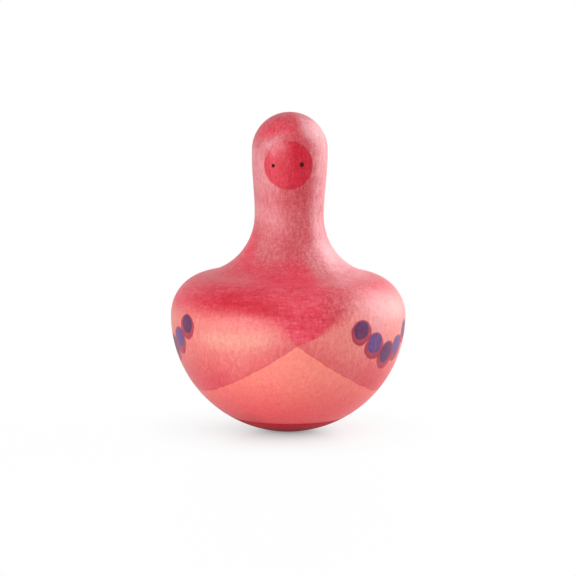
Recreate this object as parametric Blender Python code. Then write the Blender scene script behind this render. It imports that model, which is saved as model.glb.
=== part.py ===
"""A wooden spinning bird: one turned block with a round underside, weighted so that it stands up again.

A flat-bottomed pocket, drilled up into the underside, holds a steel ballast disc on a wood screw.
A wooden plug closes the pocket and carries on the round of the underside, down to the small flat
that the bird rests on. Two black pins in drilled holes are the eyes.

The frame is in metres, +Z up, with the origin at the middle of the rest flat. The bird faces -Y.
"""

import math

import bmesh
import bpy

MM = 0.001

# The turned block, from the underside up. A rise is measured from the height above it in this list.
BALL_RADIUS = 37.5 * MM  # the round underside, and the widest part of the bird
REST_FLAT_RADIUS = 3.5 * MM  # where the work was parted off the lathe and sanded
SHOULDER_RADIUS = 13.4 * MM  # the curve that turns the side in above the widest part
WAIST_RADIUS = 11.0 * MM  # the thinnest part of the neck
WAIST_RISE = 32.0 * MM  # from the ball's centre to the thinnest part
HEAD_RADIUS = 12.05 * MM
NECK_SWELL_RISE = 19.0 * MM  # from the thinnest part to where the head has its full width
HEAD_STRAIGHT_RISE = 1.75 * MM  # from there to the centre of the dome

# The pocket and the plug that closes it.
POCKET_RADIUS = 19.0 * MM  # a 38 mm flat-bottomed drill
PLUG_SIDE = 6.0 * MM  # the plug's straight side, above the round underside
PLUG_CHAMFER = 0.8 * MM
PLUG_GAP = 0.3 * MM  # the glue line round the plug

# The steel disc that keeps the bird upright, and its screw.
BALLAST_THICKNESS = 9.0 * MM
BALLAST_CHAMFER = 0.8 * MM
BALLAST_SIDE_GAP = 0.5 * MM
BALLAST_PLUG_GAP = 0.5 * MM
SEAT_GAP = 0.3 * MM  # between two pieces that bear on each other
SCREW_HEAD_RADIUS = 4.0 * MM
SCREW_HEAD_RIM = 0.35 * MM  # the straight edge of the countersunk head
SCREW_THREAD_RADIUS = 2.0 * MM
SCREW_CORE_RADIUS = 1.35 * MM
SCREW_LENGTH = 25.0 * MM
SCREW_POINT_LENGTH = 4.0 * MM
SCREW_POINT_RADIUS = 0.25 * MM
SCREW_PITCH = 1.8 * MM
THREAD_RIDGE_WIDTH = 0.9 * MM
SCREW_SINK = 0.4 * MM  # how far the head lies inside the disc's lower face
DRIVE_CROSS_LENGTH = 4.2 * MM
DRIVE_CROSS_WIDTH = 1.1 * MM
DRIVE_CROSS_DEPTH = 1.6 * MM
DRIVE_CROSS_TAPER = 0.6  # the cross's size at its deep end, against that in the head's face
SCREW_HOLE_GAP = 0.3 * MM
PILOT_SPARE_DEPTH = 1.5 * MM  # of the hole past the screw's point
DRILL_POINT_SLOPE = math.tan(math.radians(30))  # a 120 degree twist drill

# The eyes. The sides are the bird's own, along X.
LEFT, RIGHT = 1, -1
EYE_RADII = {LEFT: 0.7 * MM, RIGHT: 0.55 * MM}
EYE_HOLE_GAP = 0.1 * MM
EYE_LENGTH = 4.0 * MM  # of the pin inside the wood
EYE_STANDS_PROUD = 0.2 * MM
EYE_CROWN_RISE = 0.3 * MM  # of the pin's domed end
EYE_SPACING = 9.1 * MM  # straight across, between the two pins
EYE_DROP = 4.0 * MM  # from the centre of the head's dome to midway between the pins
EYE_UNEVENNESS = 0.5 * MM  # drilled by hand, so the bird's left eye sits this much above its right
FACE_TURN = math.radians(-3.4)  # the face looks a little to the bird's right

# How finely the round shapes are cut.
BODY_SIDES = 64
EYE_SIDES = 16
SCREW_SIDES = 12
ARC_STEP = math.radians(5)
EYE_CROWN_STEP = math.radians(20)
NECK_STEPS = 8
THREAD_ROWS_PER_TURN = 4
SHARP_EDGE = math.radians(35)
MERGE_DISTANCE = 0.001 * MM

BALL_CENTRE = math.sqrt(BALL_RADIUS**2 - REST_FLAT_RADIUS**2)
WAIST_HEIGHT = BALL_CENTRE + WAIST_RISE
HEAD_HEIGHT = WAIST_HEIGHT + NECK_SWELL_RISE
DOME_HEIGHT = HEAD_HEIGHT + HEAD_STRAIGHT_RISE
EYE_HEIGHT = DOME_HEIGHT - EYE_DROP
PLUG_RADIUS = POCKET_RADIUS - PLUG_GAP
PLUG_TOP = BALL_CENTRE - math.sqrt(BALL_RADIUS**2 - PLUG_RADIUS**2) + PLUG_SIDE
BALLAST_BOTTOM = PLUG_TOP + BALLAST_PLUG_GAP
BALLAST_TOP = BALLAST_BOTTOM + BALLAST_THICKNESS
POCKET_TOP = BALLAST_TOP + SEAT_GAP
SCREW_BOTTOM = BALLAST_BOTTOM + SCREW_SINK
SCREW_HOLE_RADIUS = SCREW_THREAD_RADIUS + SCREW_HOLE_GAP
SCREW_HEAD_HEIGHT = SCREW_HEAD_RIM + SCREW_HEAD_RADIUS - SCREW_CORE_RADIUS


def clear_scene():
    for obj in list(bpy.data.objects):
        bpy.data.objects.remove(obj)


def material(name, hex_colour, roughness, metallic=0.0):
    """A Principled material whose colour is given as an sRGB hex value."""
    made = bpy.data.materials.new(name)
    made.use_nodes = True
    shader = made.node_tree.nodes["Principled BSDF"]
    channels = [int(hex_colour[i : i + 2], 16) / 255 for i in (1, 3, 5)]
    linear = [c / 12.92 if c <= 0.04045 else ((c + 0.055) / 1.055) ** 2.4 for c in channels]
    shader.inputs["Base Color"].default_value = (*linear, 1.0)
    shader.inputs["Roughness"].default_value = roughness
    shader.inputs["Metallic"].default_value = metallic
    return made


def arc(centre_r, centre_z, radius, start, end, step=ARC_STEP):
    """Points (r, z) on an arc, both ends included, no further apart than a step."""
    steps = max(1, math.ceil(abs(end - start) / step))
    angles = [start + (end - start) * i / steps for i in range(steps + 1)]
    return [(centre_r + radius * math.cos(a), centre_z + radius * math.sin(a)) for a in angles]


def ball_arc(from_r, to_angle):
    """The underside's arc, from the ring of radius from_r up to an angle above the horizontal."""
    return arc(0, BALL_CENTRE, BALL_RADIUS, -math.acos(from_r / BALL_RADIUS), to_angle)


def neck_fillet_radius():
    """The hollow curve that touches both the shoulder's arc and the upright side of the waist."""
    inset = WAIST_RADIUS - BALL_RADIUS + SHOULDER_RADIUS
    return (inset**2 + WAIST_RISE**2 - SHOULDER_RADIUS**2) / (2 * (SHOULDER_RADIUS - inset))


def outer_profile():
    """(r, z) from the pocket's mouth up to the top of the head."""
    shoulder_r = BALL_RADIUS - SHOULDER_RADIUS
    fillet = neck_fillet_radius()
    fillet_r = WAIST_RADIUS + fillet
    touch = math.atan2(WAIST_RISE, fillet_r - shoulder_r)
    points = ball_arc(POCKET_RADIUS, 0)
    points += arc(shoulder_r, BALL_CENTRE, SHOULDER_RADIUS, 0, touch)[1:]
    points += arc(fillet_r, WAIST_HEIGHT, fillet, touch + math.pi, math.pi)[1:]
    for i in range(1, NECK_STEPS + 1):
        t = i / NECK_STEPS
        swell = t * t * (3 - 2 * t)
        radius = WAIST_RADIUS + (HEAD_RADIUS - WAIST_RADIUS) * swell
        points.append((radius, WAIST_HEIGHT + NECK_SWELL_RISE * t))
    points += arc(0, DOME_HEIGHT, HEAD_RADIUS, 0, math.pi / 2)[:-1]
    points.append((0, DOME_HEIGHT + HEAD_RADIUS))
    return points


def radius_at(height):
    """The turned block's radius at a height, for what is set into its side."""
    points = outer_profile()
    for (low_r, low_z), (high_r, high_z) in zip(points, points[1:]):
        if low_z <= height <= high_z:
            return low_r + (high_r - low_r) * (height - low_z) / (high_z - low_z)
    raise ValueError(f"the turned block has no side at height {height}")


def finish_mesh(name, work, finish):
    """Makes an object from a bmesh, shaded smooth except at its sharp edges."""
    bmesh.ops.recalc_face_normals(work, faces=work.faces)
    mesh = bpy.data.meshes.new(name)
    work.to_mesh(mesh)
    work.free()
    mesh.shade_smooth()
    mesh.set_sharp_from_angle(angle=SHARP_EDGE)
    mesh.materials.append(finish)
    obj = bpy.data.objects.new(name, mesh)
    bpy.context.scene.collection.objects.link(obj)
    return obj


def turned(name, points, finish, sides, ring=False):
    """A solid turned about Z from (r, z) points. A ring's outline is closed and stays off the axis."""
    work = bmesh.new()
    corners = [work.verts.new((r, 0, z)) for r, z in points]
    edges = [work.edges.new(pair) for pair in zip(corners, corners[1:])]
    if ring:
        edges.append(work.edges.new((corners[-1], corners[0])))
    bmesh.ops.spin(
        work, geom=corners + edges, axis=(0, 0, 1), cent=(0, 0, 0), angle=math.tau, steps=sides,
        use_merge=True,
    )
    bmesh.ops.remove_doubles(work, verts=work.verts, dist=MERGE_DISTANCE)
    return finish_mesh(name, work, finish)


def skin(name, rings, finish):
    """A solid through a stack of rings, each a list of as many (x, y, z) corners, with flat ends."""
    work = bmesh.new()
    loops = [[work.verts.new(corner) for corner in ring] for ring in rings]
    for low, high in zip(loops, loops[1:]):
        for i, corner in enumerate(low):
            after = (i + 1) % len(low)
            work.faces.new((corner, low[after], high[after], high[i]))
    work.faces.new(loops[0])
    work.faces.new(loops[-1])
    return finish_mesh(name, work, finish)


def cut_away(obj, cutter):
    """Cuts the cutter's shape out of an object with a Boolean, and hides the cutter."""
    cutter.hide_render = True
    cutter.display_type = "WIRE"
    cut = obj.modifiers.new(cutter.name, "BOOLEAN")
    cut.operation = "DIFFERENCE"
    cut.object = cutter


def place_in_face(obj, side):
    """Turns a piece's +Z outwards and its origin to the surface, at the eye on one side."""
    height = EYE_HEIGHT + side * EYE_UNEVENNESS / 2
    surface = radius_at(height)
    across = FACE_TURN + side * math.asin(EYE_SPACING / 2 / surface)
    outward = (math.sin(across), -math.cos(across))
    obj.rotation_euler = (math.pi / 2, 0, across)
    obj.location = (outward[0] * surface, outward[1] * surface, height)


def build_turned_body(finish):
    """The block with its pocket, the screw's pilot hole and the two eye holes."""
    pilot_top = SCREW_BOTTOM + SCREW_LENGTH + PILOT_SPARE_DEPTH
    points = outer_profile()[::-1]
    points += [
        (POCKET_RADIUS, POCKET_TOP),
        (SCREW_HOLE_RADIUS, POCKET_TOP),
        (SCREW_HOLE_RADIUS, pilot_top),
        (0, pilot_top + SCREW_HOLE_RADIUS * DRILL_POINT_SLOPE),
    ]
    body = turned("turned_body", points, finish, BODY_SIDES)
    hole_depth = EYE_LENGTH + SEAT_GAP
    for side, name in ((RIGHT, "eye_hole_drill_right"), (LEFT, "eye_hole_drill_left")):
        hole_radius = EYE_RADII[side] + EYE_HOLE_GAP
        hole = [(0, -hole_depth), (hole_radius, -hole_depth), (hole_radius, HEAD_RADIUS), (0, HEAD_RADIUS)]
        drill = turned(name, hole, finish, EYE_SIDES)
        place_in_face(drill, side)
        cut_away(body, drill)


def build_bottom_plug(finish):
    """A wooden disc whose lower face carries on the round underside and holds the rest flat."""
    rim_angle = -math.acos(PLUG_RADIUS / BALL_RADIUS)
    points = [(0, 0), (REST_FLAT_RADIUS, 0)]
    points += ball_arc(REST_FLAT_RADIUS, rim_angle)[1:]
    points += [
        (PLUG_RADIUS, PLUG_TOP - PLUG_CHAMFER),
        (PLUG_RADIUS - PLUG_CHAMFER, PLUG_TOP),
        (0, PLUG_TOP),
    ]
    turned("bottom_plug", points, finish, BODY_SIDES)


def build_ballast_disc(finish):
    """A steel disc with a countersunk hole, chamfered on both faces."""
    radius = POCKET_RADIUS - BALLAST_SIDE_GAP
    sink_radius = SCREW_HEAD_RADIUS + SCREW_HEAD_RIM + SCREW_SINK + SCREW_HOLE_GAP * math.sqrt(2)
    sink_depth = sink_radius - SCREW_HOLE_RADIUS
    points = [
        (sink_radius, BALLAST_BOTTOM),
        (radius - BALLAST_CHAMFER, BALLAST_BOTTOM),
        (radius, BALLAST_BOTTOM + BALLAST_CHAMFER),
        (radius, BALLAST_TOP - BALLAST_CHAMFER),
        (radius - BALLAST_CHAMFER, BALLAST_TOP),
        (SCREW_HOLE_RADIUS, BALLAST_TOP),
        (SCREW_HOLE_RADIUS, BALLAST_BOTTOM + sink_depth),
    ]
    turned("ballast_disc", points, finish, BODY_SIDES, ring=True)


def screw_radius(along, turn):
    """The screw's radius at a distance along it from the head's face, at a share of a turn."""
    if along <= SCREW_HEAD_RIM:
        return SCREW_HEAD_RADIUS
    if along <= SCREW_HEAD_HEIGHT:
        return SCREW_HEAD_RADIUS - (along - SCREW_HEAD_RIM)
    taper = min(1.0, (SCREW_LENGTH - along) / SCREW_POINT_LENGTH)
    core = SCREW_POINT_RADIUS + (SCREW_CORE_RADIUS - SCREW_POINT_RADIUS) * taper
    if along < BALLAST_THICKNESS:
        return core
    off_crest = abs((along / SCREW_PITCH - turn) % 1 - 0.5) * SCREW_PITCH
    ridge = max(0.0, 1 - off_crest / (THREAD_RIDGE_WIDTH / 2))
    return core + (SCREW_THREAD_RADIUS - SCREW_CORE_RADIUS) * ridge * taper


def build_ballast_screw(finish):
    """A countersunk wood screw, point up, whose thread is one ridge that winds round the core."""
    thread_length = SCREW_LENGTH - BALLAST_THICKNESS
    rows = math.ceil(thread_length / SCREW_PITCH * THREAD_ROWS_PER_TURN)
    stations = [0, SCREW_HEAD_RIM, SCREW_HEAD_HEIGHT]
    stations += [BALLAST_THICKNESS + thread_length * i / rows for i in range(rows + 1)]
    rings = []
    for along in stations:
        ring = []
        for side in range(SCREW_SIDES):
            turn = side / SCREW_SIDES
            radius = screw_radius(along, turn)
            angle = turn * math.tau
            ring.append((radius * math.cos(angle), radius * math.sin(angle), SCREW_BOTTOM + along))
        rings.append(ring)
    screw = skin("ballast_screw", rings, finish)
    cut_away(screw, build_drive_cross(finish))


def build_drive_cross(finish):
    """The cross that the driver fits, cut up into the screw's head and narrower as it goes."""
    half, arm = DRIVE_CROSS_WIDTH / 2, DRIVE_CROSS_LENGTH / 2
    quarter = [(arm, -half), (arm, half), (half, half)]
    outline = []
    for right_angles in range(4):
        c = round(math.cos(right_angles * math.pi / 2))
        s = round(math.sin(right_angles * math.pi / 2))
        outline += [(x * c - y * s, x * s + y * c) for x, y in quarter]
    levels = (
        (SCREW_BOTTOM - DRIVE_CROSS_DEPTH, 1.0),
        (SCREW_BOTTOM, 1.0),
        (SCREW_BOTTOM + DRIVE_CROSS_DEPTH, DRIVE_CROSS_TAPER),
    )
    rings = [[(x * size, y * size, z) for x, y in outline] for z, size in levels]
    return skin("drive_cross_cutter", rings, finish)


def build_eye_pins(finish):
    """Two straight pins with a low dome, each in its drilled hole."""
    for side, name in ((RIGHT, "eye_pin_right"), (LEFT, "eye_pin_left")):
        radius = EYE_RADII[side]
        crown = (radius**2 + EYE_CROWN_RISE**2) / (2 * EYE_CROWN_RISE)
        rim_angle = math.acos(radius / crown)
        points = [(0, -EYE_LENGTH), (radius, -EYE_LENGTH)]
        points += arc(0, EYE_STANDS_PROUD - crown, crown, rim_angle, math.pi / 2, EYE_CROWN_STEP)[:-1]
        points.append((0, EYE_STANDS_PROUD))
        place_in_face(turned(name, points, finish, EYE_SIDES), side)


def main():
    clear_scene()
    build_turned_body(material("stained beech", "#E2646C", 0.5))
    build_bottom_plug(material("dark red stained beech", "#A92F42", 0.5))
    build_ballast_disc(material("plain steel", "#8E9092", 0.35, 1.0))
    build_ballast_screw(material("zinc plated steel", "#C4C2B4", 0.3, 1.0))
    build_eye_pins(material("black dyed hardwood", "#1B1211", 0.45))


main()
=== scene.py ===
"""The looks of a wooden spinning bird: turned beech, stained by hand in thin reds and corals.

The frame gives the bird's size and the places of its pieces. Each operator dresses one piece or a group
of like pieces, and the last one sets the floor, the lamps and the camera.
"""

import math
from functools import partial
from types import SimpleNamespace

import bmesh
import bpy
from mathutils import Matrix, Vector


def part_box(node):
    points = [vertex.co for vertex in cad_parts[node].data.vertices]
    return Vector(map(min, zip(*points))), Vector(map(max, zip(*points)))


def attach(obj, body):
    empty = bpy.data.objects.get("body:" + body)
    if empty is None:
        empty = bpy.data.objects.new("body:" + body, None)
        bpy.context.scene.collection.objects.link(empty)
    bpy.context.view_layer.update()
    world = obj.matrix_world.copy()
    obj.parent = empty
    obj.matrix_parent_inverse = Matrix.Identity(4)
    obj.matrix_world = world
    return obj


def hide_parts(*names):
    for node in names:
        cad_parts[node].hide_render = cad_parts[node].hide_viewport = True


bl_info = {
    "name": "Wooden spinning bird",
    "version": (1, 0, 0),
    "blender": (4, 5, 0),
    "location": "3D View > Sidebar > Spinning Bird",
    "description": "Dresses a turned, weighted wooden bird in stained beech, with its studio",
    "category": "Object",
}

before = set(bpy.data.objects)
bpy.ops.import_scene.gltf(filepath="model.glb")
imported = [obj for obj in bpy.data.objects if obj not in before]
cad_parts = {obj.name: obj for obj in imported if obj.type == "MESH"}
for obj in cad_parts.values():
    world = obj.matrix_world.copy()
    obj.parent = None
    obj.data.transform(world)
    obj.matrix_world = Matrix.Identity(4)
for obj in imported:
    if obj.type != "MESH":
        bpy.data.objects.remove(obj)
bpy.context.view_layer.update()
BODY = "root"

MM = 0.001
BODY_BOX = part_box("turned_body")
PLUG_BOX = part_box("bottom_plug")
BALLAST_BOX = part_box("ballast_disc")
EYE_BOXES = {side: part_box(f"eye_pin_{side}") for side in ("left", "right")}

BALL_RADIUS = BODY_BOX[1].x
TOP = BODY_BOX[1].z
PLUG_RADIUS = PLUG_BOX[1].x
PLUG_TOP = PLUG_BOX[1].z
EYE_RADII = {side: (high.z - low.z) / 2 for side, (low, high) in EYE_BOXES.items()}

# How the turned shapes are made.
BODY_SIDES = 240
PLUG_SIDES = 192
EYE_SIDES = 32
FLOOR_SIDES = 96
NECK_STEPS = 24
BALL_STEP = math.radians(1.3)
HEAD_STEP = math.radians(3)
EYE_STEP = math.radians(8)
SHARP_EDGE = math.radians(35)
MERGE_DISTANCE = 0.001 * MM
WALL_MARGIN = 0.01 * MM  # a face this near the pocket's wall counts as the wall
DRILL_OUTSIDE = 5 * MM  # how much of an eye's drill stands out of the wood

# The beech block. Its heart, the middle of the tree, lies behind the bird, and its grain runs up Z.
HEART = (14 * MM, 85 * MM, 0.0)
RING_SPACING = 2.2 * MM
RAY_SPACING = (1.1 * MM, 5 * MM, 2.6 * MM)  # round the heart, outwards from it and along the grain
FIBRE_SPACING = (0.7 * MM, 1 * MM, 2.4 * MM)  # the same three ways

# In the painted layout, angles are in degrees and lengths in millimetres. Across is the angle from the
# front, positive to the bird's left. Off is the angle from the breast point, to either side. Rise is over
# the ball's centre. A band has four numbers: where it begins, is full, starts to fade and has gone.
LEFT, RIGHT = 1, -1
BEHIND = (80, 170)  # off, from where the sides' looks change to where the back's begin
SLOPE = (11, 15, 21, 27)  # the rises of the shoulders' slope up into the neck
MANTLE_CHANGES = {
    # Off, from crisp edge to soft, from the top's height in front to the side's, and from streaks to none.
    LEFT: {"edge": (6, 26), "top": (5, 30), "streaks": (0, 22)},
    RIGHT: {"edge": (0, 9), "top": (40, 75), "streaks": (35, 80)},
}
RIGHT_HIGHLIGHTS = (
    # Painted highlights in paler rose: how pale each is, its bands of angles to the bird's right and of
    # rises.
    (0.6, (2, 34, 70, 105), (22, 34, 50, 57)),  # the side of the neck
    (0.25, (25, 45, 65, 100), (46, 50, 56, 60)),  # the cheek
    (0.3, (0, 12, 42, 60), (15, 20, 22, 27)),  # the foot of the neck
)
GARLAND = (
    # Across, rise, radius and stain of each round spot.
    (47.5, -1.5, 3.9, "plum"),
    (57, -6.5, 4.3, "violet"),
    (68, -10.0, 4.6, "plum"),
    (79, -8.5, 4.3, "violet"),
    (89, -4.0, 3.9, "plum"),
    (97, 1.5, 1.9, "crimson"),
    (103, 5.5, 1.5, "violet"),
    (108, 8.5, 1.2, "crimson"),
)
GARLAND_TURN = -10  # both garlands hang this much further round to the bird's right
LARGEST_DOT = 3  # a spot with a larger radius is a berry

SOFTBOXES = (
    # Side, degrees round to the picture's right and upwards, width and height in metres.
    ("right", 114, 20, 0.85, 0.75),
    ("top", 5, 62, 0.9, 0.6),
    ("left", -38, 10, 1.15, 0.4),
)
WHITE = (1.0, 1.0, 1.0)
SMOOTH = {"interpolation_type": "SMOOTHSTEP"}


# Settings that a user can change


def linear(hex_colour):
    """An sRGB hex value as the linear red, green and blue that a shader takes."""
    channels = [int(hex_colour[i : i + 2], 16) / 255 for i in (1, 3, 5)]
    return [c / 12.92 if c <= 0.04045 else ((c + 0.055) / 1.055) ** 2.4 for c in channels]


def size(name, millimetres, description):
    """A length, with its default in millimetres."""
    return bpy.props.FloatProperty(
        name=name, description=description, default=millimetres * MM, min=0.0, unit="LENGTH", precision=5
    )


def turn(name, degrees, description):
    """An angle, with its default in degrees."""
    return bpy.props.FloatProperty(
        name=name, description=description, default=math.radians(degrees), unit="ROTATION"
    )


def stain(name, hex_colour, description):
    """A colour, with its default as an sRGB hex value."""
    return bpy.props.FloatVectorProperty(
        name=name, description=description, default=linear(hex_colour), size=3, min=0.0, max=1.0,
        subtype="COLOR",
    )


def light(name, strength, description):
    """How bright a softbox or the room is, where 1 is plain white."""
    return bpy.props.FloatProperty(name=name, description=description, default=strength, min=0.0)


class BirdShape(bpy.types.PropertyGroup):
    """The turned shape. The ball, the height and the plug's size come from the frame."""

    rest_flat_radius: size("Rest flat radius", 3.5, "The small flat that the bird rests on")
    shoulder_radius: size("Shoulder radius", 13.4, "The curve that turns the side in above the ball")
    waist_radius: size("Waist radius", 11.0, "The thinnest part of the neck")
    waist_rise: size("Waist rise", 32.0, "From the ball's centre up to the waist")
    head_radius: size("Head radius", 12.05, "The head and its dome")
    neck_swell_rise: size("Neck swell rise", 19.0, "From the waist up to the head's full width")
    pocket_gap: size("Pocket gap", 0.3, "Between the plug and the drilled pocket in the frame")
    pocket_clearance: size("Pocket clearance", 0.3, "Above the ballast disc")
    pilot_radius: size("Pilot hole radius", 2.3, "The hole that takes the ballast screw")
    pilot_depth: size("Pilot hole depth", 17.0, "From the pocket's flat top up to the hole's cone")
    seam: size("Plug seam", 0.06, "The hairline round the glued plug")
    seam_round: size("Seam rounding", 0.12, "Sanded edge on both sides of the seam")
    flat_round: size("Rest flat rounding", 0.5, "Sanded edge round the rest flat")
    plug_chamfer: size("Plug chamfer", 0.8, "Round the plug's hidden end")
    eye_length: size("Eye length", 4.0, "The pin inside the wood")
    eye_gap: size("Eye gap", 0.05, "Between a pin and the wall of its hole")
    eye_spare: size("Eye hole spare", 0.3, "The hole behind the pin")
    eye_proud: size("Eye proud", 0.2, "The pin's domed end outside the wood")
    eye_crown: size("Eye crown", 0.3, "The rise of the pin's domed end")


class BirdPaint(bpy.types.PropertyGroup):
    """Where each colour of stain begins and ends. Heights are from the ball's centre."""

    face_radius: size("Face radius", 7.65, "The crimson disc that holds the eyes")
    face_rise: size("Face rise", 48.65, "Its centre, above the ball's centre")
    face_across: size("Face shift", 0.38, "Its centre, to the bird's right")
    wing_turn: turn("Breast point", 4.5, "Where the wings meet in front, to the bird's left")
    wing_drop: size("Breast point drop", 5.0, "The same point, below the ball's centre")
    wing_depth: size("Wing depth", 18.0, "From the breast point down to the wings' lowest edge")
    wing_sweep: turn("Wing sweep", 75.0, "From the breast point round to the lowest edge")
    tail_drop: size("Tail point drop", 13.0, "The point where the wings meet behind")
    mantle_rise_right: size("Right mantle rise", 8.5, "The mantle's right edge, above the breast point")
    mantle_rise_left: size("Left mantle rise", 13.5, "Its left edge, above the breast point")
    mantle_rise_back: size("Back mantle rise", 12.0, "Its edge behind, above the breast point")
    mantle_top: size("Mantle top", 18.0, "Where the mantle fades into the neck, in front")
    mantle_top_left: size("Left mantle top", 14.0, "Where it fades on the bird's left")
    mantle_top_right: size("Right mantle top", 27.0, "Where it fades on the right, and behind")
    mantle_fade: size("Mantle fade", 9.0, "The height over which it fades")


class BirdStain(bpy.types.PropertyGroup):
    """The colours of the stains, as they look on the wood in plain white light."""

    neck: stain("Neck", "#CE5059", "Rose, on the head and neck")
    # Pale rose is laid where the stain went on thin, and as painted highlights on the neck, head, face and
    # wings.
    pale: stain("Pale rose", "#EB989E", "The same, where it went on thin")
    mantle: stain("Mantle", "#E94B5D", "Crimson, over the shoulders")
    mantle_edge: stain("Mantle edge", "#D2283B", "The same, pooled at its lower edge")
    wing: stain("Wing", "#F0847D", "Coral, on the upper wing")
    # Painted highlight: lighter coral laid at mid-height on the bird's right wing.
    wing_highlight: stain("Light wing", "#F0988A", "The same, thin at mid-height on the right wing")
    wing_edge: stain("Wing edge", "#DE4A56", "The same, pooled low on the wing")
    belly: stain("Belly", "#FD8C7D", "Orange coral, under the breast point")
    belly_low: stain("Low belly", "#E9535A", "The same, nearer the plug")
    face: stain("Face", "#CE1E36", "Deep crimson of the face disc")
    face_edge: stain("Face edge", "#C41F37", "The same, pooled at the disc's edge")
    plug: stain("Plug", "#BE1A30", "Dark red of the bottom plug")
    # Painted shade: the plug darker towards the rest flat, near the floor.
    plug_painted_shade: stain("Low plug", "#8E1228", "The same, nearer the rest flat")
    plum: stain("Plum", "#4C205A", "Of the wing spots")
    crimson: stain("Crimson", "#A81640", "Of the wing spots")
    violet: stain("Violet", "#564088", "Of the wing spots")
    fleck: stain("Fleck", "#8A2430", "The rays of the beech, which take up more stain")
    bare: stain("Bare beech", "#D9B48C", "Unstained beech inside the pocket")
    bare_fleck: stain("Bare fleck", "#8A5A3A", "The rays of the unstained beech")


class BirdStudio(bpy.types.PropertyGroup):
    """The camera and the light."""

    camera_distance: size("Camera distance", 900.0, "From the camera to the bird")
    camera_height: turn("Camera height", 7.2, "How far above level the camera stands")
    camera_roll: turn("Camera roll", 0.56, "How far the picture leans to the right")
    aim_rise: size("Aim rise", 8.47, "The middle of the picture, above the ball's centre")
    aim_across: size("Aim shift", 0.14, "The middle of the picture, to the bird's right")
    picture_width: size("Picture width", 184.1, "What the camera takes in at the bird")
    lamp_distance: size("Softbox distance", 850.0, "From the ball's centre to each softbox")
    right_light: light("Right softbox", 4.9, "On the picture's right, a little behind the bird")
    top_light: light("Top softbox", 0.9, "High in front of the bird")
    left_light: light("Left softbox", 4.25, "On the picture's left, in front of the bird")
    ambient: light("Ambient", 0.12, "Light from all round")
    floor_radius: size("Floor radius", 500.0, "The round card that the bird stands on")
    floor_drop: size("Floor drop", 0.02, "How far the card lies below the rest flat")


# Shapes


def ball_centre(shape):
    """The height of the ball's centre above the rest flat."""
    return math.sqrt(BALL_RADIUS**2 - shape.rest_flat_radius**2)


def underside(shape, radius):
    """The height of the ball's underside above the rest flat, at a distance from the axis."""
    return ball_centre(shape) - math.sqrt(BALL_RADIUS**2 - radius**2)


def pocket_mouth(shape):
    """The radius of the drilled pocket."""
    return PLUG_RADIUS + shape.pocket_gap


def arc(centre_r, centre_z, radius, start, end, step=BALL_STEP):
    """Points (r, z) on an arc, both ends included, no further apart than a step."""
    steps = max(1, math.ceil(abs(end - start) / step))
    angles = [start + (end - start) * i / steps for i in range(steps + 1)]
    return [(centre_r + radius * math.cos(a), centre_z + radius * math.sin(a)) for a in angles]


def pocket_outline(shape):
    """(r, z) of the screw's pilot hole and the pocket, from the hole's end down to the pocket's wall."""
    pocket_top = BALLAST_BOX[1].z + shape.pocket_clearance
    pilot_top = pocket_top + shape.pilot_depth
    return [
        (0, pilot_top + shape.pilot_radius / 2),
        (shape.pilot_radius, pilot_top),
        (shape.pilot_radius, pocket_top),
        (pocket_mouth(shape), pocket_top),
    ]


def body_outline(shape):
    """(r, z) of the turned block, from the pocket's mouth up to the top of the head.

    The hollow of the neck is an arc that touches the shoulder's arc and stands upright at the waist.
    """
    centre = ball_centre(shape)
    shoulder_r = BALL_RADIUS - shape.shoulder_radius
    inset = shape.waist_radius - shoulder_r
    apart = inset**2 + shape.waist_rise**2 - shape.shoulder_radius**2
    hollow = apart / (2 * (shape.shoulder_radius - inset))
    hollow_r = shape.waist_radius + hollow
    touch = math.atan2(shape.waist_rise, hollow_r - shoulder_r)
    mouth = pocket_mouth(shape)
    points = [(mouth, underside(shape, mouth) + shape.seam_round)]
    points += arc(0, centre, BALL_RADIUS, -math.acos((mouth + shape.seam_round) / BALL_RADIUS), 0)
    points += arc(shoulder_r, centre, shape.shoulder_radius, 0, touch)[1:]
    points += arc(hollow_r, centre + shape.waist_rise, hollow, touch + math.pi, math.pi)[1:]
    for i in range(1, NECK_STEPS + 1):
        risen = i / NECK_STEPS
        radius = blend(shape.waist_radius, shape.head_radius, eased(risen, 0, 1))
        points.append((radius, centre + shape.waist_rise + shape.neck_swell_rise * risen))
    points += arc(0, TOP - shape.head_radius, shape.head_radius, 0, math.pi / 2, HEAD_STEP)[:-1]
    points.append((0, TOP))
    return points


def plug_outline(shape):
    """(r, z) of the plug: its rest flat, its share of the ball, its wall and its chamfered hidden end."""
    radius = pocket_mouth(shape) - shape.seam
    flat_edge = math.acos((shape.rest_flat_radius + shape.flat_round) / BALL_RADIUS)
    seam_edge = math.acos((radius - shape.seam_round) / BALL_RADIUS)
    points = [(0, 0), (shape.rest_flat_radius, 0)]
    points += arc(0, ball_centre(shape), BALL_RADIUS, -flat_edge, -seam_edge)
    points += [
        (radius, underside(shape, radius) + shape.seam_round),
        (radius, PLUG_TOP - shape.plug_chamfer),
        (radius - shape.plug_chamfer, PLUG_TOP),
        (0, PLUG_TOP),
    ]
    return points


def eye_outline(shape, radius):
    """(r, z) of an eye pin from its hidden end to its dome, with 0 at the surface of the wood."""
    dome = (radius**2 + shape.eye_crown**2) / (2 * shape.eye_crown)
    points = [(0, -shape.eye_length), (radius, -shape.eye_length)]
    points += arc(0, shape.eye_proud - dome, dome, math.acos(radius / dome), math.pi / 2, EYE_STEP)[:-1]
    points.append((0, shape.eye_proud))
    return points


def radius_at(shape, height):
    """The turned block's radius at a height above the rest flat."""
    points = body_outline(shape)
    for (low_r, low_z), (high_r, high_z) in zip(points, points[1:]):
        if low_z <= height <= high_z:
            return low_r + (high_r - low_r) * (height - low_z) / (high_z - low_z)
    raise ValueError(f"the turned block has no side at height {height}")


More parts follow.
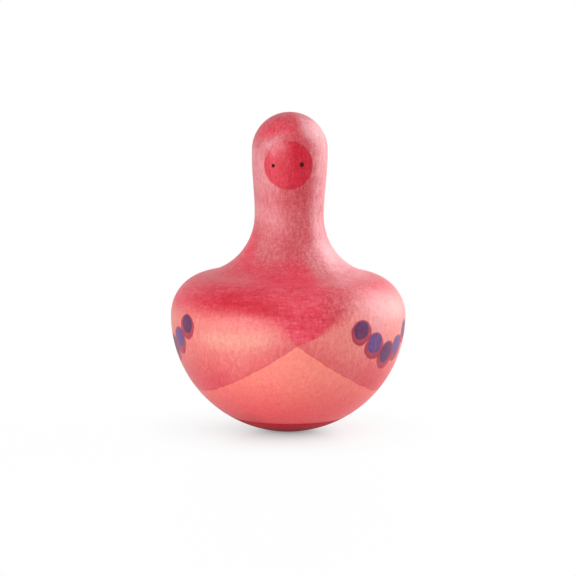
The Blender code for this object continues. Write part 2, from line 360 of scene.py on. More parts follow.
def turned(name, points, sides):
    """A closed mesh turned about Z from (r, z) points that start and end on the axis."""
    work = bmesh.new()
    corners = [work.verts.new((r, 0, z)) for r, z in points]
    edges = [work.edges.new(pair) for pair in zip(corners, corners[1:])]
    bmesh.ops.spin(work, geom=corners + edges, axis=(0, 0, 1), angle=math.tau, steps=sides, use_merge=True)
    bmesh.ops.remove_doubles(work, verts=work.verts, dist=MERGE_DISTANCE)
    bmesh.ops.recalc_face_normals(work, faces=work.faces)
    return placed(name, work)


def new_object(name, data):
    """An object in the scene with its mesh, lamp or camera."""
    made = bpy.data.objects.new(name, data)
    bpy.context.scene.collection.objects.link(made)
    return made


def placed(name, work):
    """An object in the scene with the mesh that was worked on."""
    mesh = bpy.data.meshes.new(name)
    work.to_mesh(mesh)
    work.free()
    return new_object(name, mesh)


def smooth(piece):
    """Shades a piece smooth except at its sharp edges."""
    piece.data.shade_smooth()
    piece.data.set_sharp_from_angle(angle=SHARP_EDGE)


def cut(piece, cutters):
    """Cuts pieces out of a piece, for good, and deletes the cutters."""
    for cutter in cutters:
        hole = piece.modifiers.new(cutter.name, "BOOLEAN")
        hole.operation = "DIFFERENCE"
        hole.object = cutter
    bpy.context.view_layer.update()
    ready = piece.evaluated_get(bpy.context.evaluated_depsgraph_get())
    old = piece.data
    piece.data = bpy.data.meshes.new_from_object(ready)
    piece.modifiers.clear()
    bpy.data.meshes.remove(old)
    for cutter in cutters:
        bpy.data.objects.remove(cutter)


def eye_place(shape, side):
    """The matrix that stands a turned piece in the face at an eye, its +Z outwards along the pin."""
    low, high = EYE_BOXES[side]
    middle = (low + high) / 2
    in_front = Matrix.Translation((0, -radius_at(shape, middle.z), middle.z))
    forwards = Matrix.Rotation(math.pi / 2, 4, "X")
    return Matrix.Rotation(math.atan2(middle.x, -middle.y), 4, "Z") @ in_front @ forwards


def eye_drill(shape, side):
    """The cutter for an eye's hole."""
    radius = EYE_RADII[side] + shape.eye_gap
    depth = shape.eye_length + shape.eye_spare
    points = [(0, -depth), (radius, -depth), (radius, DRILL_OUTSIDE), (0, DRILL_OUTSIDE)]
    drill = turned(f"drill_{side}", points, EYE_SIDES)
    drill.matrix_world = eye_place(shape, side)
    return drill


def mark_inside(body, shape):
    """Gives the faces of the pocket and the pilot hole the second material."""
    pilot_end = pocket_outline(shape)[0][1]
    reach = pocket_mouth(shape) + WALL_MARGIN
    for face in body.data.polygons:
        inside = face.center.xy.length < reach and face.center.z < pilot_end
        face.material_index = 1 if inside else 0


# The painted layout


def eased(value, low, high):
    """0 up to low, 1 from high on and a smooth way between them."""
    share = min(1.0, max(0.0, (value - low) / (high - low)))
    return share * share * (3 - 2 * share)


def within(value, band):
    """1 in the full part of a band, 0 outside the band and a smooth way between them."""
    begins, full, fades, gone = band
    return eased(value, begins, full) * (1 - eased(value, fades, gone))


def blend(one, other, share):
    """The value a share of the way from one to the other."""
    return one + (other - one) * share


def wing_fields(paint, side, off, rise):
    """How far a place lies above a wing's lower edge and the pool along it, and how deep the stain is.

    The edge sweeps down from the breast point, and up again to the tail point.
    """
    sweep = math.degrees(paint.wing_sweep)
    lowest = -paint.wing_drop - paint.wing_depth
    if off < sweep:
        edge = blend(lowest, -paint.wing_drop, (1 - off / sweep) ** 2)
    else:
        edge = blend(lowest, -paint.tail_drop, ((off - sweep) / (180 - sweep)) ** 2)
    above_edge = rise - edge / MM
    pool = 10 + 10 * eased(off, 20, 60)
    # Painted highlight: a lighter band just below the breast point, on the bird's right wing only.
    highlight_share = within(-rise, (0, 3, 4, 9)) * within(off, (8, 18, 42, 58))
    return {
        "above_wing_edge": above_edge,
        "above_wing_pool": above_edge / pool - 1,
        "wing_pool_depth": 0.6 + 0.4 * eased(off, 28, 46),
        "wing_glow": highlight_share if side == RIGHT else 0.0,
    }


def mantle_fields(paint, side, off, rise):
    """How far a place lies above the mantle's lower edge and its top, and how soft and streaked it is.

    Its edge climbs from the breast point, at once on the bird's right and in an S on the left.
    """
    changes = MANTLE_CHANGES[side]
    if side == LEFT:
        side_rise = paint.mantle_rise_left
        side_top = paint.mantle_top_left
        climb = eased(off, -4, 42)
    else:
        side_rise = paint.mantle_rise_right
        side_top = paint.mantle_top_right
        climb = 1 - math.exp(-off / 10)
    behind = eased(off, *BEHIND)
    edge = blend(side_rise, paint.mantle_rise_back, behind) * climb - paint.wing_drop
    side_top = blend(side_top, paint.mantle_top_right, behind)
    top = blend(paint.mantle_top, side_top, eased(off, *changes["top"]))
    return {
        "above_mantle_edge": rise - edge / MM,
        "above_mantle_top": rise - top / MM,
        "mantle_softness": 0.35 + 3.4 * eased(off, *changes["edge"]),
        "streaks": 1 - eased(off, *changes["streaks"]),
    }


def mantle_strength(side, off, across, rise):
    """The mantle's crimson strength: weaker on the bird's left, most along its edge, as painted highlight.
    """
    if side == RIGHT:
        return 1.0
    regained = 0.5 * eased(off, 32, 46)
    paler_where_lit = 0.6 * eased(off, 8, 26) * (1 - regained) * (1 - eased(off, *BEHIND))
    # Painted highlight on the bird's left shoulder, along the mantle's edge.
    painted_shoulder_highlight = 0.45 * within(rise, (0, 4, 8, 11)) * within(across, (14, 24, 38, 48))
    return (1 - paler_where_lit) * (1 - painted_shoulder_highlight)


def left_flank_highlight(across, rise):
    """Painted highlight: how pale the rose is in the long patch on the bird's left, from shoulders to
    crown.
    """
    on_slope = within(rise, SLOPE)
    further_back = 3 * within(rise, (24, 32, 46, 54))
    further_forward = 14 * eased(rise, 55, 60)
    begins = 21 + further_back - further_forward
    thin = within(across, (begins, begins + 31, 110, 150))
    deeper_behind = (0.75 - 0.5 * eased(rise, 30, 38)) * eased(across, 46, 62) * (1 - on_slope)
    paler_where_lit = 0.4 * on_slope + 0.5 * eased(rise, 56, 60)
    deeper_on_crown = 0.65 * eased(rise, 61, 64)
    deeper_at_foot = 0.32 * within(rise, (19.5, 22.5, 25, 30))
    return thin * (1 - deeper_behind) * (1 + paler_where_lit) * (1 - deeper_on_crown) * (1 - deeper_at_foot)


def rose_thinness_and_highlights(across, rise):
    """How pale the rose is in patches on the shoulders, the neck and the head: mostly painted highlights.
    """
    flank_highlight = left_flank_highlight(across, rise)
    # The flank, the slope on the bird's left and the patches on its right are painted highlights.
    slope = 0.3 * within(rise, SLOPE) * eased(across, 12, 26)
    collar = 0.2 * within(rise, (22, 28, 32, 38)) * (1 - eased(abs(across), 10, 40))
    thin = 0.76 * flank_highlight + slope * (1 - flank_highlight) + collar
    for strength, angles, rises in RIGHT_HIGHLIGHTS:
        thin += strength * within(-across, angles) * within(rise, rises)
    return thin


def face_fields(paint, aside, above):
    """How far a place lies from the face's middle, and where a painted highlight crosses its upper right
    edge.

    Aside is to the bird's right of the middle.
    """
    from_centre = math.hypot(aside, above)
    radius = paint.face_radius / MM
    upper_right = within(math.degrees(math.atan2(above, aside)), (0, 45, 62, 100))
    return {
        "from_face_centre": from_centre,
        # Painted highlight over the face's upper right edge, outside the disc and inside it.
        "brow": upper_right * within(from_centre - radius, (-0.5, 1.4, 1.4, 4)),
        "face_worn": upper_right * eased(from_centre, 0.4 * radius, radius),
    }


def paint_at(shape, paint, x, y, z):
    """Where a point on the turned block lies in the painted layout, and how its stains went on there.

    Crown is the crimson over the crown and lacy is where the grain shows most. The plug's stain ran up
    low on the bird's right, where it is also a painted shade. A point behind counts as far from the face,
    and one above the ball's centre as far from the plug.
    """
    across = math.degrees(math.atan2(x, -y))
    rise = z - ball_centre(shape) / MM
    from_point = math.remainder(across - math.degrees(paint.wing_turn), 360)
    side = LEFT if from_point > 0 else RIGHT
    off = abs(from_point)
    far = BALL_RADIUS / MM
    aside = -x - paint.face_across / MM if y < 0 else far
    thinner_behind = 0.25 * eased(off, *BEHIND)
    deeper_on_top = 0.65 * eased(rise, 61.5, 64)
    fields = wing_fields(paint, side, off, rise) | mantle_fields(paint, side, off, rise)
    fields |= face_fields(paint, aside, rise - paint.face_rise / MM)
    fields["mantle_strength"] = mantle_strength(side, off, across, rise)
    # Thin is paler rose: mostly painted highlights, and thinner stain behind.
    fields["thin"] = rose_thinness_and_highlights(across, rise) + thinner_behind
    fields["rise"] = rise
    fields["crown"] = eased(rise, 55, 60) * (1 - eased(x, -0.5, 5)) * (1 - deeper_on_top)
    fields["lacy"] = within(across, (14, 30, 60, 80)) * eased(rise, -2, 4)
    fields["from_plug"] = math.hypot(x, y) - pocket_mouth(shape) / MM if rise < 0 else far
    # Low on the bird's right: plug stain that ran up, and painted shade.
    fields["crept"] = within(-across, (12, 32, 80, 120))
    return fields


def write_fields(piece, shape, paint):
    """Writes the painted layout on a piece's vertices, and returns the names of its fields."""
    painted = [paint_at(shape, paint, *(vertex.co / MM)) for vertex in piece.data.vertices]
    for name in painted[0]:
        values = [fields[name] for fields in painted]
        piece.data.attributes.new(name, "FLOAT", "POINT").data.foreach_set("value", values)
    return list(painted[0])


def wing_spots(shape):
    """(centre, radius, stain's name) of each round spot: five berries and three dots on each wing.

    A berry is a crimson wash with a smaller and darker one over its upper part.
    """
    spots = []
    for side in (RIGHT, LEFT):
        for across, rise, radius, name in GARLAND:
            washes = [(rise, radius, name)]
            if radius > LARGEST_DOT:
                washes = [(rise, radius, "crimson"), (rise + 0.2 * radius, 0.72 * radius, name)]
            angle = math.radians(side * across + GARLAND_TURN)
            for wash_rise, wash_radius, wash_name in washes:
                height = ball_centre(shape) + wash_rise * MM
                r = radius_at(shape, height)
                spots.append(((r * math.sin(angle), -r * math.cos(angle), height), wash_radius, wash_name))
    return spots


# Nodes and patterns


def add_node(tree, kind, inputs=(), **settings):
    """Adds a shader node with its settings and its inputs, in the node's own order or by name or number.

    An input takes a value, another node's output, or a node for its first output in use. A colour needs
    no alpha.
    """
    made = tree.nodes.new("ShaderNode" + kind)
    for name, value in settings.items():
        setattr(made, name, value)
    for key, value in inputs.items() if isinstance(inputs, dict) else enumerate(inputs):
        socket = made.inputs[key]
        if isinstance(value, bpy.types.Node):
            value = next(output for output in value.outputs if output.enabled)
        if isinstance(value, bpy.types.NodeSocket):
            tree.links.new(value, socket)
        elif socket.type == "RGBA":
            socket.default_value = (*value, 1.0)
        else:
            socket.default_value = value
    return made


def new_material(name):
    """An empty material, what adds its nodes and the place that is shaded, in the object's own metres."""
    made = bpy.data.materials.new(name)
    made.use_nodes = True
    made.node_tree.nodes.clear()
    add = partial(add_node, made.node_tree)
    return made, add, add("TexCoord").outputs["Object"]


def layered(add, colour, layers, blend_type="MIX"):
    """A ground colour under layers of other colours, each with the share of it that covers.

    The mix node takes colours at its inputs 6 and 7.
    """
    for share, layer in layers:
        colour = add("Mix", {0: share, 6: colour, 7: layer}, data_type="RGBA", blend_type=blend_type)
    return colour


def product(add, *factors):
    """Several shares multiplied together."""
    total = factors[0]
    for factor in factors[1:]:
        total = add("Math", (total, factor), operation="MULTIPLY")
    return total


def swing(add, share, width):
    """A share from 0 to 1 as a move from half a width one way to half a width the other way."""
    return add("Math", (share, width, -width / 2), operation="MULTIPLY_ADD")


def in_widths(add, place, spacing):
    """A place counted in widths, which are the same along each axis or one for each, in metres."""
    widths = spacing if isinstance(spacing, tuple) else (spacing,) * 3
    return add("Mapping", {"Vector": place, "Scale": [1 / width for width in widths]})


def noise(add, place, spacing, detail=2.0):
    """Soft noise from 0 to 1 whose lumps have a width, or a width along each axis, in metres."""
    inputs = {"Vector": in_widths(add, place, spacing), "Scale": 1.0, "Detail": detail}
    return add("TexNoise", inputs)


def sway(add, shares, strength):
    """1, moved by shares between 0.3 and 0.7, each by its own depth either way, times a strength."""
    total = 0.0
    for share, depth in shares:
        move = add("MapRange", (share, 0.3, 0.7, -depth, depth))
        total = add("Math", (move, total), operation="ADD")
    return add("Math", (total, strength, 1.0), operation="MULTIPLY_ADD")


def shaded(add, colour, shares, strength=1.0):
    """A colour made lighter and darker by several shares."""
    inputs = {0: colour, "Scale": sway(add, shares, strength)}
    return add("VectorMath", inputs, operation="SCALE")


def soaked(add, colour, shares, strength):
    """A stain that soaked in unevenly: its colour to a power, which moves green and blue more than red."""
    power = add("Math", (2.0, sway(add, shares, strength)), operation="SUBTRACT")
    return add("Gamma", {"Color": colour, "Gamma": power})


def beech_figure(add, place):
    """The figure of a beech block, as three shares.

    Flecks are the rays, seen end on as dark dashes about 0.4 mm wide and 1 mm long. Fibre is the fine
    streaking along the grain. Rings are the dark late wood of the growth rings.
    """
    from_heart = add("VectorMath", (place, HEART), operation="SUBTRACT")
    level = add("VectorMath", (from_heart, (1.0, 1.0, 0.0)), operation="MULTIPLY")
    drift = swing(add, noise(add, place, 22 * MM), 5 * MM)
    out = add("VectorMath", (level,), operation="LENGTH")
    out = add("Math", (out, drift), operation="ADD")
    x, y, z = add("SeparateXYZ", (from_heart,)).outputs
    angle = add("Math", (x, product(add, y, -1.0)), operation="ARCTAN2")
    along = add("Math", (z, drift), operation="ADD")
    grain = add("CombineXYZ", (product(add, angle, HEART[1]), out, along))
    cells = in_widths(add, grain, RAY_SPACING)
    rays = add("TexVoronoi", {"Vector": cells, "Scale": 1.0}).outputs
    dashes = add("MapRange", (rays["Distance"], 0.26, 0.06), **SMOOTH)
    random = add("SeparateColor", (rays["Color"],))
    darker = add("MapRange", (random, 0.3, 1.0), **SMOOTH)
    ring = add("Math", (out, RING_SPACING), operation="DIVIDE")
    ring = add("Math", (ring,), operation="FRACT")
    return SimpleNamespace(
        flecks=product(add, dashes, darker),
        fibre=noise(add, grain, FIBRE_SPACING),
        rings=add("Math", (ring, 4.0), operation="POWER"),
    )


# Materials


def finish(add, colour, rough, relief, depth, **others):
    """Gives a surface its colour, its roughness, its relief with a depth in metres, and other inputs."""
    bump = add("Bump", {"Height": relief, "Distance": depth})
    shader = add("BsdfPrincipled", {"Base Color": colour, "Roughness": rough, "Normal": bump} | others)
    add("OutputMaterial", {"Surface": shader})


def finish_wood(add, colour, wood, speckle, rough, ior):
    """Sanded wood, whose rays lie a little low and whose raised fibres break up the sheen."""
    relief = add("Math", (speckle, 0.9, wood.fibre), operation="MULTIPLY_ADD")
    relief = add("Math", (wood.flecks, -0.8, relief), operation="MULTIPLY_ADD")
    roughness = add("MapRange", (speckle, 0.3, 0.7, *rough))
    finish(add, colour, roughness, relief, depth=0.022 * MM, IOR=ior)


def brush_marks(add, place, fields, paint):
    """The painted layout's fields, and the marks of brush and soaking that make its edges uneven."""
    at = SimpleNamespace()
    for name in fields:
        setattr(at, name, add("Attribute", attribute_name=name).outputs["Fac"])
    at.blotches = noise(add, place, 6 * MM, detail=3.0)
    at.speckle = noise(add, place, 0.75 * MM)
    at.strokes = noise(add, place, (8 * MM, 8 * MM, 1.3 * MM), detail=3.0)
    at.fine_strokes = noise(add, place, (3 * MM, 3 * MM, 0.65 * MM))
    at.waver = swing(add, noise(add, place, 5 * MM), 1.0)
    at.above_wing = add("Math", (at.above_wing_edge, at.waver), operation="ADD")
    at.above_edge = add("Math", (at.above_mantle_edge, at.waver), operation="ADD")
    at.above_mantle = add("Math", (at.above_edge, at.mantle_softness), operation="DIVIDE")
    at.from_face = add("Math", (at.waver, 0.5, at.from_face_centre), operation="MULTIPLY_ADD")
    at.from_seam = add("Math", (at.waver, 0.5, at.from_plug), operation="MULTIPLY_ADD")
    blotched = add("MapRange", (at.blotches, 0.25, 0.65, 0.75, 1.2), **SMOOTH)
    at.thin = product(add, at.thin, blotched)
    reach = paint.mantle_fade / MM / 2
    above_top = add("Math", (at.above_mantle_top, swing(add, at.strokes, 9.0)), operation="ADD")
    under_top = add("MapRange", (above_top, reach, -reach), **SMOOTH)
    # The mantle covers less where it lays on a painted highlight on the bird's left.
    at.covers = product(add, under_top, at.mantle_strength)
    return at


def neck_layers(add, at, colours):
    """On the rose stain: painted highlights as paler patches and above the face, crimson strokes on the
    crown.
    """
    stroked = add("MapRange", (at.strokes, 0.3, 0.6, 0.5, 1.0), **SMOOTH)
    blotched = add("MapRange", (at.blotches, 0.3, 0.6, 0.3, 0.6), **SMOOTH)
    return [
        (at.thin, colours.pale),
        (product(add, at.crown, stroked), colours.mantle),
        # Painted highlight in a pale band outside the face's upper right edge.
        (product(add, at.brow, blotched), colours.pale),
    ]


def mantle_layers(add, at, colours):
    """Crimson over the shoulders, and the streaks that it pooled in above its lower edge."""
    above_pool = add("Math", (at.above_edge, swing(add, at.strokes, -14.0)), operation="ADD")
    pooled = add("MapRange", (above_pool, 10.5, 4.5), **SMOOTH)
    risen = add("MapRange", (at.rise, -1.0, 7.0, 0.1, 1.0), **SMOOTH)
    return [(at.covers, colours.mantle), (product(add, pooled, at.streaks, risen), colours.mantle_edge)]


def wing_layers(add, at, colours):
    """Coral wings under the mantle: painted highlight high up, deeper where the stain pooled, a thin rim.
    """
    upper = add("MapRange", (at.above_wing, 8.0, 16.0, 0.0, 0.9), **SMOOTH)
    pooled = add("MapRange", (at.above_wing_pool, 0.0, -1.0), **SMOOTH)
    rim = add("MapRange", (at.above_wing, 0.9, 0.2, 0.0, 0.12), **SMOOTH)
    layers = [
        # Paler high up, where the painted highlights of the rose field reach the wing.
        (product(add, at.thin, upper), colours.pale),
        # Painted highlight at mid-height on the bird's right wing.
        (at.wing_glow, colours.wing_highlight),
        (product(add, pooled, at.wing_pool_depth), colours.wing_edge),
        (rim, colours.mantle_edge),
    ]
    under_mantle = add("MapRange", (at.above_mantle, 1.0, -1.0), **SMOOTH)
    return [(under_mantle, layered(add, colours.wing, layers))]


def belly_layers(add, at, colours):
    """Coral belly below the wings, deeper lower down, with the plug's stain run up and painted shade over
    it.
    """
    low = add("MapRange", (at.rise, -10.0, -32.0), **SMOOTH)
    under_wing = add("MapRange", (at.above_wing, 0.2, -0.2), **SMOOTH)
    near_plug = add("MapRange", (at.from_plug, 7.0, 0.0, 0.0, 0.55), **SMOOTH)
    bled = add("MapRange", (at.from_seam, 1.7, 0.0, 0.0, 0.6), **SMOOTH)
    return [
        (under_wing, layered(add, colours.belly, [(low, colours.belly_low)])),
        # Plug stain that ran up, and painted shade, low on the bird's right near the plug.
        (product(add, at.crept, near_plug), colours.plug),
        (bled, colours.plug),
    ]


def face_layers(add, at, place, paint, colours):
    """The crimson face: darker at its rim, and with painted light to the bird's right and at its upper
    right.
    """
    rim = paint.face_radius / MM
    aside = add("SeparateXYZ", (place,))
    # Painted light: the face brightens towards the bird's right.
    painted_light_to_right = add("MapRange", (aside, 3 * MM, -7 * MM), **SMOOTH)
    to_left = add("Math", (1.0, painted_light_to_right), operation="SUBTRACT")
    near_rim = add("MapRange", (at.from_face, rim - 0.7, rim - 0.2), **SMOOTH)
    blotched = add("MapRange", (at.blotches, 0.35, 0.6, 0.1, 0.35), **SMOOTH)
    layers = [
        (product(add, near_rim, to_left), colours.face_edge),
        (product(add, painted_light_to_right, 0.42), colours.mantle),
        # Painted highlight over the face's upper right.
        (product(add, at.face_worn, blotched), colours.pale),
    ]
    on_face = add("MapRange", (at.from_face, rim + 0.2, rim - 0.2), **SMOOTH)
    return [(on_face, layered(add, colours.face, layers))]


def with_spots(add, at, place, colour, shape, colours):
    """A colour with the wings' round spots: thin washes with a darker rim, darker where two overlap."""
    wash = add("Math", (at.blotches, 0.4, 0.6), operation="MULTIPLY_ADD")
    waver = swing(add, noise(add, place, 4 * MM, detail=1.0), 1.0)
    for centre, radius, name in wing_spots(shape):
        away = add("VectorMath", (place, centre), operation="DISTANCE")
        away = add("Math", (away, 1 / MM, waver), operation="MULTIPLY_ADD")
        inside = add("MapRange", (away, radius + 0.35, radius - 0.35), **SMOOTH)
        rim = add("MapRange", (away, radius - 1.1, radius - 0.1, 0.0, 0.1), **SMOOTH)
        depth = add("Math", (rim, wash), operation="ADD")
        share = product(add, inside, depth)
        spot = getattr(colours, name)
        colour = layered(add, colour, [(product(add, share, 0.35), spot)], blend_type="MULTIPLY")
        colour = layered(add, colour, [(share, spot)])
    return colour


def with_grain(add, at, wood, colour, colours):
    """A stained colour with the wood's grain and the brush's streaks, as far as each stain shows them."""
    on_mantle = add("MapRange", (at.above_mantle, -1.0, 1.0), **SMOOTH)
    grain = add("Math", (at.thin, -0.28, 0.7), operation="MULTIPLY_ADD")
    grain = add("MapRange", (at.covers, 0.0, 1.0, grain, 0.5))
    grain = add("MapRange", (on_mantle, 0.0, 1.0, 0.42, grain))
    grain = add("MapRange", (at.above_wing, -0.2, 0.2, 0.3, grain), **SMOOTH)
    grain = add("Math", (at.lacy, 0.15, grain), operation="MULTIPLY_ADD")
    brushed = add("MapRange", (product(add, on_mantle, at.covers), 0.0, 1.0, 0.15, 1.0))
    colour = soaked(add, colour, ((at.blotches, 0.06), (at.speckle, 0.18), (wood.fibre, 0.18)), grain)
    colour = soaked(add, colour, ((at.strokes, 0.09), (at.fine_strokes, 0.12)), brushed)
    colour = shaded(add, colour, ((wood.fibre, 0.05), (at.speckle, 0.05), (wood.rings, -0.02)), grain)
    return layered(add, colour, [(product(add, wood.flecks, grain, 0.6), colours.fleck)])


def stained_beech(fields, shape, paint, colours):
    """Beech, turned and fine sanded, then stained by brush with thin water stains and waxed.

    The eye gets see-through reds that pool darker at their edges, over small dark rays and faint streaks.
    """
    made, add, place = new_material("stained_beech")
    wood = beech_figure(add, place)
    at = brush_marks(add, place, fields, paint)
    colour = colours.neck
    for part in (neck_layers, mantle_layers, wing_layers, belly_layers):
        colour = layered(add, colour, part(add, at, colours))
    colour = with_spots(add, at, place, colour, shape, colours)
    colour = layered(add, colour, face_layers(add, at, place, paint, colours))
    colour = with_grain(add, at, wood, colour, colours)
    finish_wood(add, colour, wood, at.speckle, rough=(0.36, 0.5), ior=1.4)
    return made


def plain_beech(name, colour, fleck, lowest):
    """Beech with one stain or none, turned and sanded: dark rays on a soft, streaked ground.

    Lowest is a painted shade: its colour up to 1 mm above the ground, gone by 4 mm.
    """
    made, add, place = new_material(name)
    wood = beech_figure(add, place)
    speckle = noise(add, place, 0.9 * MM)
    rise = add("SeparateXYZ", (place,)).outputs["Z"]
    # Painted shade towards the ground.
    low = add("MapRange", (rise, 4 * MM, 1 * MM), **SMOOTH)
    toned = layered(add, colour, [(low, lowest)])
    toned = shaded(add, toned, ((speckle, 0.04), (wood.fibre, 0.05), (wood.rings, -0.03)))
    toned = layered(add, toned, [(product(add, wood.flecks, 0.3), fleck)])
    finish_wood(add, toned, wood, speckle, rough=(0.55, 0.65), ior=1.25)
    return made


def black_hardwood():
    """Hardwood dowel, dyed a red-brown black through: near black with a faint soft glint."""
    made, add, place = new_material("black_dyed_hardwood")
    pores = noise(add, place, 0.2 * MM)
    browner = add("MapRange", (pores, 0.35, 0.7), **SMOOTH)
    tone = layered(add, linear("#260604"), [(browner, linear("#47110C"))])
    rough = add("MapRange", (pores, 0.3, 0.7, 0.4, 0.55), **SMOOTH)
    finish(add, tone, rough, pores, depth=0.01 * MM, IOR=1.22)
    return made


def turned_steel():
    """Mild steel bar, sawn and faced on a lathe: fine rings about the axis and a grey, oily gleam."""
    made, add, place = new_material("turned_mild_steel")
    tool_spacing = 0.25 * MM
    spacing_at_scale_1 = math.tau / 20
    marks = {"Vector": place, "Scale": spacing_at_scale_1 / tool_spacing, "Distortion": 0.6}
    cuts = add("TexWave", marks, wave_type="RINGS", rings_direction="Z").outputs["Fac"]
    stains = noise(add, place, 6 * MM, detail=4.0)
    oily = add("MapRange", (stains, 0.35, 0.7), **SMOOTH)
    tone = layered(add, linear("#8E9092"), [(oily, linear("#77726C"))])
    rough = add("MapRange", (stains, 0.3, 0.7, 0.28, 0.42), **SMOOTH)
    finish(add, tone, rough, cuts, depth=0.008 * MM, Metallic=1.0)
    return made


def zinc_plate():
    """Bright zinc plate on a pressed and rolled wood screw: a pale, slightly yellow and cloudy metal."""
    made, add, place = new_material("bright_zinc_plate")
    clouds = noise(add, place, 1.5 * MM, detail=3.0)
    dull = add("MapRange", (clouds, 0.3, 0.7), **SMOOTH)
    tone = layered(add, linear("#CBCABB"), [(dull, linear("#B4B2A8"))])
    rough = add("MapRange", (clouds, 0.3, 0.7, 0.22, 0.36), **SMOOTH)
    finish(add, tone, rough, clouds, depth=0.01 * MM, Metallic=1.0)
    return made


def seen_rays(add):
    """1 for a ray of the camera, a mirror image or a see-through thing, and 0 for any other."""
    rays = add("LightPath").outputs
    seen = add("Math", (rays["Is Camera Ray"], rays["Is Glossy Ray"]), operation="MAXIMUM")
    return add("Math", (seen, rays["Is Transmission Ray"]), operation="MAXIMUM")


def white_card(radius):
    """Smooth white card: it takes the bird's shadow and a faint mirror image, and fades into plain white.

    The light it throws back on the bird is the whole card's. Only what is seen of it fades.
    """
    made, add, place = new_material("white_card")
    away = add("VectorMath", (place,), operation="LENGTH")
    card = add("BsdfPrincipled", {"Base Color": linear("#EEF2F2"), "Roughness": 0.25})
    white = add("Emission", {"Color": WHITE, "Strength": 1.0})
    # White takes over from the bird's axis outwards, and has its whole share from about 50 mm on.
    fade_length = 18.5 * MM
    reach = 1.07
    whole_share = 0.985
    near = add("Math", (away, -fade_length), operation="DIVIDE")
    near = add("Math", (near,), operation="EXPONENT")
    faded = add("Math", (near, -reach, reach), operation="MULTIPLY_ADD")
    faded = add("Math", (faded, 1.0), operation="MINIMUM")
    share = product(add, seen_rays(add), faded, whole_share)
    whole = add("MixShader", (share, card, white))
    # The card turns see-through towards its edge, and can't be seen from below.
    edge = add("MapRange", (away, 0.4 * radius, 0.9 * radius), **SMOOTH)
    below = add("NewGeometry").outputs["Backfacing"]
    gone = add("Math", (edge, below), operation="MAXIMUM")
    shown = add("MixShader", (gone, whole, add("BsdfTransparent")))
    add("OutputMaterial", {"Surface": shown})
    return made


# The studio


def build_floor(studio):
    """A round sheet of card that the bird stands on."""
    work = bmesh.new()
    bmesh.ops.create_circle(work, cap_ends=True, radius=studio.floor_radius, segments=FLOOR_SIDES)
    bmesh.ops.translate(work, verts=work.verts, vec=(0, 0, -studio.floor_drop))
    floor = placed("floor", work)
    floor.data.materials.append(white_card(studio.floor_radius))


def build_softbox(name, azimuth, elevation, width, height, strength, middle, distance):
    """A softbox that looks at the ball's middle from a number of degrees round it and above it."""
    lamp = bpy.data.lights.new(name, "AREA")
    lamp.shape = "RECTANGLE"
    lamp.size = width
    lamp.size_y = height
    lamp.energy = strength * math.pi * width * height
    made = new_object(name, lamp)
    turned_up = Matrix.Rotation(-math.radians(elevation), 3, "X")
    turned_round = Matrix.Rotation(math.radians(azimuth), 3, "Z")
    away = turned_round @ turned_up @ Vector((0, -1, 0))
    made.location = Vector((0, 0, middle)) + away * distance
    made.rotation_euler = away.to_track_quat("Z", "Y").to_euler()


def light_world(scene, ambient):
    """White seen by the camera and by reflections, and a gentler white for the light it gives."""
    world = bpy.data.worlds.new("white_room")
    scene.world = world
    world.use_nodes = True
    world.node_tree.nodes.clear()
    add = partial(add_node, world.node_tree)
    strength = add("MapRange", (seen_rays(add), 0.0, 1.0, ambient, 1.0))
    sky = add("Background", {"Color": WHITE, "Strength": strength})
    add("OutputWorld", {"Surface": sky})


def build_camera(scene, studio, middle):
    """The camera, a little above the bird and straight in front of it."""
    lens = bpy.data.cameras.new("camera")
    camera = new_object("camera", lens)
    aim = Vector((-studio.aim_across, 0, middle + studio.aim_rise))
    back = Vector((0, -math.cos(studio.camera_height), math.sin(studio.camera_height)))
    camera.location = aim + back * studio.camera_distance
    facing = back.to_track_quat("Z", "Y").to_matrix()
    roll = Matrix.Rotation(studio.camera_roll, 3, "Z")
    camera.rotation_euler = (facing @ roll).to_euler()
    lens.lens = lens.sensor_width * studio.camera_distance / studio.picture_width
    scene.camera = camera


# The steps, their panel and the start


class BIRD_OT_turned_body(bpy.types.Operator):
    """Turn and stain the bird's block, with its pocket and eye holes"""

    bl_idname = "bird.turned_body"
    bl_label = "Turned body"

    def execute(self, context):
        scene = context.scene
        shape, paint, colours = scene.bird_shape, scene.bird_paint, scene.bird_stain
        body = turned("stained_body", pocket_outline(shape) + body_outline(shape), BODY_SIDES)
        cut(body, [eye_drill(shape, side) for side in EYE_BOXES])
        smooth(body)
        fields = write_fields(body, shape, paint)
        bare = plain_beech("bare_beech", colours.bare, colours.bare_fleck, colours.bare)
        body.data.materials.clear()
        body.data.materials.append(stained_beech(fields, shape, paint, colours))
        body.data.materials.append(bare)
        mark_inside(body, shape)
        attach(body, BODY)
        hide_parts("turned_body")
        return {"FINISHED"}


class BIRD_OT_bottom_plug(bpy.types.Operator):
    """Turn the plug that closes the pocket, with the flat that the bird rests on"""

    bl_idname = "bird.bottom_plug"
    bl_label = "Bottom plug"

    def execute(self, context):
        shape, colours = context.scene.bird_shape, context.scene.bird_stain
        # The plug darkens to a painted shade near the rest flat.
        red = plain_beech("red_stained_beech", colours.plug, colours.fleck, colours.plug_painted_shade)
        plug = turned("stained_plug", plug_outline(shape), PLUG_SIDES)
        smooth(plug)
        plug.data.materials.append(red)
        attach(plug, BODY)
        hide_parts("bottom_plug")
        return {"FINISHED"}


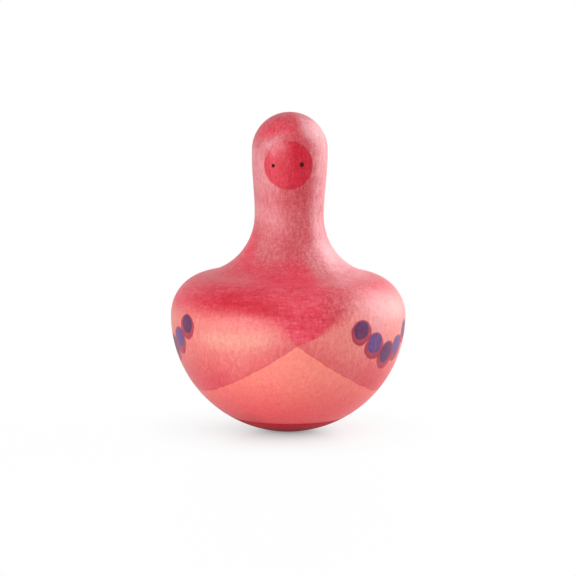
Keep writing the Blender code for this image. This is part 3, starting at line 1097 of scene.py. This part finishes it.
class BIRD_OT_eye_pins(bpy.types.Operator):
    """Turn the two black eye pins and stand them in their holes"""

    bl_idname = "bird.eye_pins"
    bl_label = "Eye pins"

    def execute(self, context):
        shape = context.scene.bird_shape
        black = black_hardwood()
        for side, radius in EYE_RADII.items():
            pin = turned(f"eye_{side}", eye_outline(shape, radius), EYE_SIDES)
            pin.matrix_world = eye_place(shape, side)
            smooth(pin)
            pin.data.materials.append(black)
            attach(pin, BODY)
            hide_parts(f"eye_pin_{side}")
        return {"FINISHED"}


class BIRD_OT_ballast(bpy.types.Operator):
    """Finish the steel ballast disc and its zinc-plated screw"""

    bl_idname = "bird.ballast"
    bl_label = "Ballast and screw"

    def execute(self, context):
        for node, metal in (("ballast_disc", turned_steel()), ("ballast_screw", zinc_plate())):
            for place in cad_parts[node].material_slots:
                place.material = metal
        return {"FINISHED"}


class BIRD_OT_studio(bpy.types.Operator):
    """Set the white floor, the soft lamps and the camera"""

    bl_idname = "bird.studio"
    bl_label = "Studio"

    def execute(self, context):
        scene = context.scene
        studio = scene.bird_studio
        middle = ball_centre(scene.bird_shape)
        build_floor(studio)
        for side, *place_and_face in SOFTBOXES:
            strength = getattr(studio, f"{side}_light")
            build_softbox(f"{side}_softbox", *place_and_face, strength, middle, studio.lamp_distance)
        light_world(scene, studio.ambient)
        build_camera(scene, studio, middle)
        scene.view_settings.view_transform = "Standard"
        return {"FINISHED"}


class BIRD_PT_panel(bpy.types.Panel):
    """The bird's steps, in the order in which they are made"""

    bl_idname = "BIRD_PT_panel"
    bl_label = "Spinning Bird"
    bl_space_type = "VIEW_3D"
    bl_region_type = "UI"
    bl_category = "Spinning Bird"

    def draw(self, context):
        for step in STEPS:
            self.layout.operator(step.bl_idname)
        for group in GROUPS:
            box = self.layout.box()
            settings = getattr(context.scene, group)
            for name in GROUPS[group].__annotations__:
                box.prop(settings, name)


STEPS = (BIRD_OT_turned_body, BIRD_OT_bottom_plug, BIRD_OT_eye_pins, BIRD_OT_ballast, BIRD_OT_studio)
GROUPS = {
    "bird_shape": BirdShape,
    "bird_paint": BirdPaint,
    "bird_stain": BirdStain,
    "bird_studio": BirdStudio,
}


def register():
    """Makes the settings, the steps and the panel known, and gives each scene its settings."""
    for each in (*GROUPS.values(), *STEPS, BIRD_PT_panel):
        bpy.utils.register_class(each)
    for name, group in GROUPS.items():
        setattr(bpy.types.Scene, name, bpy.props.PointerProperty(type=group))


def unregister():
    """Takes away what register added."""
    for name in GROUPS:
        delattr(bpy.types.Scene, name)
    for each in (BIRD_PT_panel, *STEPS, *GROUPS.values()):
        bpy.utils.unregister_class(each)


def main():
    """Runs the steps in order."""
    register()
    bpy.ops.bird.turned_body()
    bpy.ops.bird.bottom_plug()
    bpy.ops.bird.eye_pins()
    bpy.ops.bird.ballast()
    bpy.ops.bird.studio()


if __name__ == "__main__":
    main()
